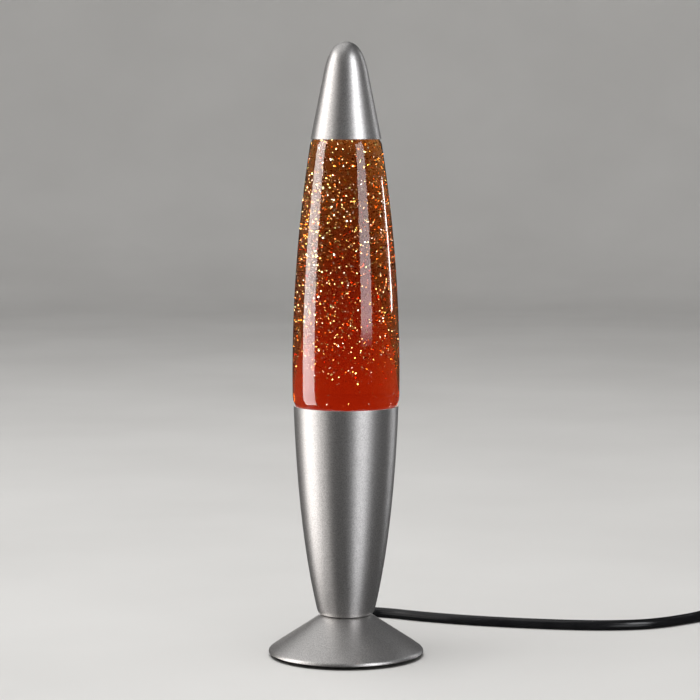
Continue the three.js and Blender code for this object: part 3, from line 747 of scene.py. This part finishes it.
def make_bottle():
    low = bend((19.5, GLASS_BOTTOM_Z), (25.4, GLASS_BOTTOM_Z), (25.9, GLASS_BOTTOM_Z + 6), 8)
    shoulder = bend((28.7, 143.8), (29.4, 145.6), (30.1, 147), 6)
    outside = [(0, GLASS_BOTTOM_Z), *low, (28.55, 143), *shoulder, *glass_side(32)]
    outside += bottle_top(10.2, 0)
    inside = bottle_inside(GLASS_WALL)
    lip = [(10.2, 321, 0.6), (inside[-1][0], 321, 0.6)]
    bm = turned(rounded(outside + lip + inside[::-1]))
    bm.normal_update()
    for face in bm.faces:
        middle = face.calc_center_median()
        z = middle.z
        inner = math.hypot(middle.x, middle.y) < outer_radius(outside, z) - GLASS_WALL / 2
        face.material_index = int(inner and GLASS_BOTTOM_Z + 1 < z < LIQUID_LEVEL)
    surfaces = [SURFACES["clear_glass"], clear_glass("wet_glass", (0, 0, 0))]
    return new_piece("bottle_shell", bm, "clear_glass", "bottle", ["bottle_glass"], surfaces)


LIQUID_OVERLAP = 0.08  # how far the liquid reaches into the glass, so that no air lies between
SURFACE_INSET = 1.3  # the narrowing of the shoulder just below the liquid's surface


def make_liquid():
    filled = [p for p in bottle_inside(GLASS_WALL - LIQUID_OVERLAP) if p[1] < LIQUID_LEVEL]
    edge = filled[-1][0] - SURFACE_INSET
    bm = turned(filled + [(edge, LIQUID_LEVEL), (0, LIQUID_LEVEL)])
    return new_piece("dyed_water", bm, "dyed_liquid", "bottle", ["bottle_liquid"])


def make_dye_with_painted_glow():
    """A mound of deeper dye carrying a painted glow, as wide as the bottle at its foot and thinning
    upwards.
    """
    wall = GLASS_WALL + 0.5
    low = [p for p in bottle_inside(wall) if p[1] < 140]
    top = bend(low[-1], (low[-1][0], 190), (0, 255), 24)
    bm = turned(low + top[1:])
    return new_piece("dye_with_painted_glow", bm, "dyed_liquid", "bottle", [], [dye_with_painted_glow()])


# ---- Glitter: thin hexagonal flakes adrift in the liquid ----

FLAKE_COUNT = 12000
FLAKE_SEED = 20
FLAKE_HEIGHTS = (118, 299)
FLAKE_RADII = (0.2, 0.4)
FLAKE_THICKNESS = 0.02
FLAKE_TILT = 0.42  # the spread of their lean from upright, in radians
FLAKE_CROWDING = 0.16  # the smaller, the more of them drift near the glass
FILM_ROUGHNESS = 0.13
HEXAGON = [(math.cos(TAU * k / 6), math.sin(TAU * k / 6), 0) for k in range(6)]
FLAKE_COLORS = {
    "gold": (0.94, 0.8, 0.38),
    "silver": (0.9, 0.95, 0.98),
    "copper": (0.93, 0.5, 0.25),
    "lime": (0.72, 0.97, 0.52),
}
FLAKE_SHARES = (0.34, 0.4, 0.06, 0.2)
FLAKE_CLEARANCE = 0.9  # how near to the glass they come
SEAT_RADIUS = 26.5  # how far out they reach just below the visible glass
SEAT_TAPER = 0.12  # and how much less for each millimetre further down
FEW_AT_BOTTOM = 0.06
FEWER_AT_TOP = 0.55


def liquid_radius(z):
    """The radius inside the glass at a height, a little short of the wall."""
    low, high = SIDE_LOW[1], SIDE_HIGH[1]
    if z < low:
        return SEAT_RADIUS - (low - z) * SEAT_TAPER
    t = (z - low) / (high - low)
    outer = (1 - t) ** 2 * SIDE_LOW[0] + 2 * t * (1 - t) * SIDE_PULL[0] + t * t * SIDE_HIGH[0]
    return outer - GLASS_WALL - FLAKE_CLEARANCE


def flake_density(z):
    """How thickly the flakes drift at a height, from 0 to 1: few near the warm bottom."""
    rise = smooth((z - 150) / 40)
    thin_top = 1 - FEWER_AT_TOP * smooth((z - 250) / 45)
    return (FEW_AT_BOTTOM + (1 - FEW_AT_BOTTOM) * rise) * thin_top


def add_flake(bm, place, turn, radius):
    """The faces of one closed hexagon of film, a hair thicker at its middle."""
    rim = [bm.verts.new(place + turn @ (radius * Vector(corner))) for corner in HEXAGON]
    faces = []
    for side in (1, -1):
        tip = bm.verts.new(place + turn @ Vector((0, 0, side * FLAKE_THICKNESS / 2)))
        ring = rim[::side]
        faces += [bm.faces.new((a, b, tip)) for a, b in zip(ring, ring[1:] + ring[:1])]
    return faces


def make_glitter():
    pick = random.Random(FLAKE_SEED)
    bm = bmesh.new()
    made = 0
    while made < FLAKE_COUNT:
        z = pick.uniform(*FLAKE_HEIGHTS)
        if pick.random() > flake_density(z):
            continue
        angle = pick.uniform(0, TAU)
        away = liquid_radius(z) * pick.random() ** FLAKE_CROWDING
        place = Vector((away * math.cos(angle), away * math.sin(angle), z))
        turn = Euler((TAU / 4 + pick.gauss(0, FLAKE_TILT), 0, pick.uniform(0, TAU))).to_matrix()
        faces = add_flake(bm, place, turn, pick.uniform(*FLAKE_RADII))
        film = pick.choices(range(len(FLAKE_COLORS)), FLAKE_SHARES)[0]
        for face in faces:
            face.material_index = film
        made += 1
    bm.transform(Matrix.Scale(MM, 4))
    mesh = bpy.data.meshes.new("glitter_flakes")
    bm.to_mesh(mesh)
    bm.free()
    for name, color in FLAKE_COLORS.items():
        mesh.materials.append(glitter_film(f"film_{name}", color, FILM_ROUGHNESS))
    flakes = bpy.data.objects.new("glitter_flakes", mesh)
    bpy.context.scene.collection.objects.link(flakes)
    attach(flakes, "bottle")
    return flakes


def make_screw_cap():
    """A white cap with fine grip ribs, under the lamp's top cap."""
    ribs = 36
    outline = [(0, 322.8), (10.5, 322.8), (10.5, 310.5, 0.3), (12.4, 310.5, 0.3)]
    outline += [(12.4, 311.8), (12.4, 322.4), (12.4, 324.4, 1), (0, 324.4)]
    bm = turned(rounded(outline), ribs * 4)
    for v in bm.verts:
        radius = math.hypot(v.co.x, v.co.y)
        if radius > 12.2 and 311 < v.co.z < 323:
            wave = math.cos(ribs * math.atan2(v.co.y, v.co.x))
            shrink = 1 - 0.02 * (1 - wave)
            v.co.x *= shrink
            v.co.y *= shrink
    new_piece("bottle_stopper", bm, "white_plastic", "bottle", ["bottle_screw_cap"])


def make_base_body():
    """A tall spun cup: rounded heel, softly swelling side and a smooth rim."""
    side = bend((16.69, 27), (27.26, 72), (RIM_RADIUS, RIM_Z - 0.4), 40)
    heel = bend((13.3, NECK_Z), (15.94, NECK_Z), (16.69, 27), 12)
    floor = NECK_Z + SHEET
    inside = [(HOLE_RADIUS, floor), (13, floor), *moved(side, -SHEET, 0)]
    rim = [(RIM_RADIUS, RIM_Z, 0.42), (RIM_RADIUS - SHEET, RIM_Z, 0.42)]
    outline = [(HOLE_RADIUS, NECK_Z), *heel, *side[1:], *rim, *inside[::-1]]
    bm = turned(rounded(outline, closed=True), closed=True)
    for face in bm.faces:
        middle = face.calc_center_median()
        radius = math.hypot(middle.x, middle.y)
        hidden = middle.z > floor - 0.1 and radius < outer_radius(side, middle.z) - SHEET / 2
        face.material_index = int(hidden or radius < 13 and middle.z > NECK_Z + 0.1)
    surfaces = [SURFACES["silver_paint"], cup_lining()]
    new_piece("body_shell", bm, "silver_paint", "base", ["base_body"], surfaces)


def outlet_slot():
    """The gap in the foot's edge where the cord's bush sits."""
    hole = turned([(0, 30), (4.7, 30), (4.7, 47), (0, 47)], SMALL_SIDES)
    placed(hole, Matrix.Rotation(-math.pi / 2, 4, "X"))
    placed(hole, Matrix.Translation((0, 0, CORD_EXIT_Z)))
    below = block((-4.7, 30, -1), (4.7, 47, CORD_EXIT_Z))
    turn = Matrix.Rotation(CORD_EXIT_TURN, 4, "Z")
    return placed(hole, turn), placed(below, turn)


def make_foot():
    """A shallow cone that rounds over to a lip."""
    roll = bend((FOOT_RADIUS, 2.3), (FOOT_RADIUS, 3.3), (43.5, 4.1), 8)
    lip = roll + bend((43.5, 4.1), (40.6, 6.3), (36.2, 9.15), 16)[1:]
    outside = [(FOOT_RADIUS - 0.3, 2), *lip, (15.2, 23.1, 0.8), (14.2, FOOT_TOP_Z, 0.3)]
    under = FOOT_TOP_Z - SHEET
    inside = [(HOLE_RADIUS, under), (14, under), (14.65, 22.35), (35.65, 8.4)]
    inside += [(FOOT_RADIUS - 1.2, 2.9), (FOOT_RADIUS - 1, 2, 0.3)]
    outline = [*outside, (HOLE_RADIUS, FOOT_TOP_Z), *inside]
    bm = turned(rounded(outline, closed=True), closed=True)
    new_piece("foot_cone", cut(bm, *outlet_slot()), "silver_paint", "base", ["foot_shell"])


def make_bulb():
    """The reflector bulb: a silvered neck and bowl, and a frosted face."""
    wall, top = 0.8, 107.6
    neck = bend((6, 61.9), (8.4, 62.5), (8.5, 66), 8)
    bowl = bend((8.5, 66), (8.9, 78), (15, 87), 12) + bend((15, 87), (19.2, 92.5), (19.5, 98), 10)
    front = bend((19.5, 98), (19.5, 101.5), (17, 103), 6)
    front += bend((17, 103), (9.5, top), (0, top), 14)
    outside = [(6, 56), *neck, *bowl[1:], *front[1:]]
    inner_side = moved([(6, 56), *neck, *bowl[1:]], -wall, 0)
    inner_front = moved(front[3:-1], -wall / 2, -wall)
    bm = turned([(0, top - wall), *inner_front[::-1], *inner_side[::-1], *outside], 96)
    for face in bm.faces:
        face.material_index = int(face.calc_center_median().z > 99)
    surfaces = [SURFACES["silvered_glass"], frosted_glow()]
    new_piece("bulb_glass", bm, "silvered_glass", "bulb", ["bulb_envelope"], surfaces)


# ---- CAD nodes that stay as they are, with finished surfaces and softened edges ----

KEPT_NODES = {
    "black_rubber": [f"rubber_foot_{i}" for i in range(1, 5)] + ["bottle_cap_seal"],
    "black_plastic": ["bottom_cover", "lampholder_shell", "bulb_insulator"],
    "zinc_steel": [
        "cover_bracket",
        "cover_screw_1",
        "cover_screw_2",
        "nipple_tube",
        "lock_washer",
        "switch_screw_1",
        "switch_screw_2",
        "bulb_contact",
    ],
    "brass": [
        "nipple_nut",
        "lampholder_sleeve",
        "lampholder_contact",
        "switch_contact_1",
        "switch_contact_2",
        "bulb_screw_cap",
    ],
    "fibre": ["insulating_washer"],
    "ceramic": ["lampholder_insert"],
    "clear_glass": ["bulb_stem"],
    "silvered_glass": ["bulb_filament"],
    "cord_black": ["cord_inside"],
    "core_brown": ["core_live"],
    "core_blue": ["core_neutral"],
}
SHARP_NODES = ("bulb_filament", "bulb_stem", "core_live", "core_neutral", "lock_washer")


def finish_kept_nodes():
    for slot, names in KEPT_NODES.items():
        for name in names:
            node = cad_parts[name]
            node.data.shade_smooth()
            node.data.set_sharp_from_angle(angle=SHARP_FROM)
            node.data.materials.clear()
            node.data.materials.append(SURFACES[slot])
            if name not in SHARP_NODES:
                bevel = node.modifiers.new("edge", "BEVEL")
                bevel.width = 0.12 * MM
                bevel.segments = 2
                bevel.limit_method = "ANGLE"
                bevel.angle_limit = math.radians(40)


# ---- The studio: a pale floor and softboxes at the lamp's sides ----


def make_floor():
    """A pale floor that sweeps up into a wall all round. Polished pieces don't mirror it."""
    pale = Surface("pale_floor", (0.7, 0.69, 0.67), 0.55)
    pale.tint(pale.noise(4, 3), (0.68, 0.67, 0.65), (0.72, 0.71, 0.69))
    pale.bump(pale.noise(900, 2), 0.05, 0.05)
    wall = bend((2600, 0), (3600, 0), (3600, 1000), 24) + [(3600, 4200)]
    bm = turned([(0, 0), (300, 0), (1200, 0), *wall])
    bm.transform(Matrix.Scale(MM, 4))
    mesh = bpy.data.meshes.new("floor")
    bm.to_mesh(mesh)
    bm.free()
    mesh.shade_smooth()
    mesh.materials.append(pale.material)
    floor = bpy.data.objects.new("floor", mesh)
    bpy.context.scene.collection.objects.link(floor)
    floor.visible_glossy = False
    return floor


def add_light(name, place, aim, size, radiance, color=(1, 1, 1), mirrored=True):
    """A flat light of the given width and height, aimed at a point and not seen itself."""
    data = bpy.data.lights.new(name, "AREA")
    data.shape = "RECTANGLE"
    data.size, data.size_y = size
    data.energy = math.pi * radiance * size[0] * size[1]
    data.color = color
    light = bpy.data.objects.new(name, data)
    light.location = place
    light.rotation_euler = (aim - Vector(place)).to_track_quat("-Z", "Y").to_euler()
    light.visible_camera = False
    light.visible_glossy = mirrored
    bpy.context.scene.collection.objects.link(light)
    return light


def softbox(name, azimuth, distance, width, low, high, radiance, color=(1, 1, 1), mirrored=True):
    """An upright light at the lamp's side. Azimuth is from the camera's side, to the right."""
    turn = math.radians(azimuth)
    middle = (low + high) / 2
    place = (distance * math.sin(turn), -distance * math.cos(turn), middle)
    size = (width, high - low)
    return add_light(name, place, Vector((0, 0, middle)), size, radiance, color, mirrored)


def shine_on(lights, pieces, state="INCLUDE"):
    """Lights that shine on those pieces alone, or with EXCLUDE on all the others."""
    chosen = bpy.data.collections.new(f"light_{state.lower()}")
    for piece in pieces:
        chosen.objects.link(piece)
    for entry in chosen.collection_objects:
        entry.light_linking.link_state = state
    for light in lights:
        light.light_linking.receiver_collection = chosen


STRIPE_PLACE = (45.5, 1.3, 0.6)  # azimuth, distance and width of the right box in the glass
STRIPE_RADIANCE = 5.4
STRIPE_FULL = 0.18  # the box is at its full radiance above this height
STRIPE_END = 0.12  # and fades out in steps down to this one
STRIPE_STEPS = 4


def stripe_fade(color):
    """The steps below the right box, each dimmer than the one above it."""
    step = (STRIPE_FULL - STRIPE_END) / STRIPE_STEPS
    boxes = []
    for i in range(STRIPE_STEPS):
        low = STRIPE_END + i * step
        radiance = STRIPE_RADIANCE * (i + 0.5) / STRIPE_STEPS
        name = f"right_box_fade_{i + 1}"
        boxes.append(softbox(name, *STRIPE_PLACE, low, low + step, radiance, color))
    return boxes


def make_studio(bottle, glitter):
    """Tall boxes left and right, a rim light and a top light. Glass gets its own, brighter set."""
    floor = make_floor()
    warm, cool, crisp = (1, 0.97, 0.95), (0.96, 0.97, 1), (0.88, 1, 1.1)
    # name, azimuth in degrees, distance, width, low edge and high edge in metres, radiance, colour
    on_metal = [
        softbox("left_box", -90, 1.1, 0.84, -0.4, 1.25, 2.6, warm),
        softbox("left_front_box", -56, 1.1, 0.4, -0.6, 1.0, 0.9, warm),
        softbox("right_box", 46, 1.3, 0.6, 0.35, 1.6, 4.2, cool),
        softbox("right_low_box", 37, 1.3, 0.72, -0.8, 0.35, 1.5, cool),
        softbox("rim_box", 128, 1.2, 0.24, -0.2, 1.0, 1.6, cool),
        softbox("back_box", 182, 1.3, 0.5, 0.0, 1.0, 1.0, warm),
    ]
    on_glass = [
        softbox("left_box_glass", -88, 1.1, 0.68, -0.6, 1.3, 8.0, warm),
        softbox("right_box_glass", *STRIPE_PLACE, STRIPE_FULL, 1.2, STRIPE_RADIANCE, cool),
        softbox("rim_box_glass", 121, 1.2, 0.12, 0.16, 0.4, 12.0),
        *stripe_fade(cool),
    ]
    on_glitter = [
        softbox("left_box_glitter", -80, 1.1, 0.8, -0.6, 1.3, 19.0, crisp, mirrored=False),
        softbox("front_box_glitter", -22, 1.3, 0.5, 0.2, 1.0, 26.0, crisp, mirrored=False),
        softbox("right_box_glitter", 45, 1.3, 0.8, -0.3, 1.2, 6.0, crisp, mirrored=False),
    ]
    shine_on(on_metal, [bottle, glitter, floor], "EXCLUDE")
    shine_on(on_glass, [bottle])
    shine_on(on_glitter, [bottle, glitter])
    add_light("top_box", (-0.65, 0.3, 1.5), Vector((0, 0, 0.1)), (2, 2), 0.62)
    floor_light = add_light("floor_light", (-0.3, -0.3, 2.4), Vector((0, 0, 0)), (2, 2), 3.6)
    shine_on([floor_light], [floor])


def make_world():
    """Dim, even light from all round, and hardly any of it in mirrors."""
    world = bpy.data.worlds.new("studio")
    world.use_nodes = True
    nodes, links = world.node_tree.nodes, world.node_tree.links
    path = nodes.new("ShaderNodeLightPath")
    dim = nodes.new("ShaderNodeMapRange")
    dim.inputs["To Min"].default_value = 0.5
    dim.inputs["To Max"].default_value = 0.03
    background = nodes["Background"]
    background.inputs["Color"].default_value = (0.9, 0.9, 0.92, 1)
    links.new(path.outputs["Is Glossy Ray"], dim.inputs["Value"])
    links.new(dim.outputs["Result"], background.inputs["Strength"])
    bpy.context.scene.world = world
    bpy.context.scene.view_settings.view_transform = "Standard"


# ---- Making it all: camera and cord first ----

make_camera()
cord = make_cord()
on_cord = [make_strain_relief(), *make_switch(), make_rocker()]
on_cord += [make_tie(), make_plug(), *make_pins()]
make_top_cap()
bottle = make_bottle()
liquid = make_liquid()
# The dye mound's surface carries a painted red glow.
dye = make_dye_with_painted_glow()
glitter = make_glitter()
for piece in (bottle, liquid, dye):
    piece.visible_shadow = False
for piece in (bottle, liquid, dye, glitter):
    piece.visible_diffuse = False
make_screw_cap()
make_base_body()
make_foot()
make_bulb()
finish_kept_nodes()
make_studio(bottle, glitter)
make_world()
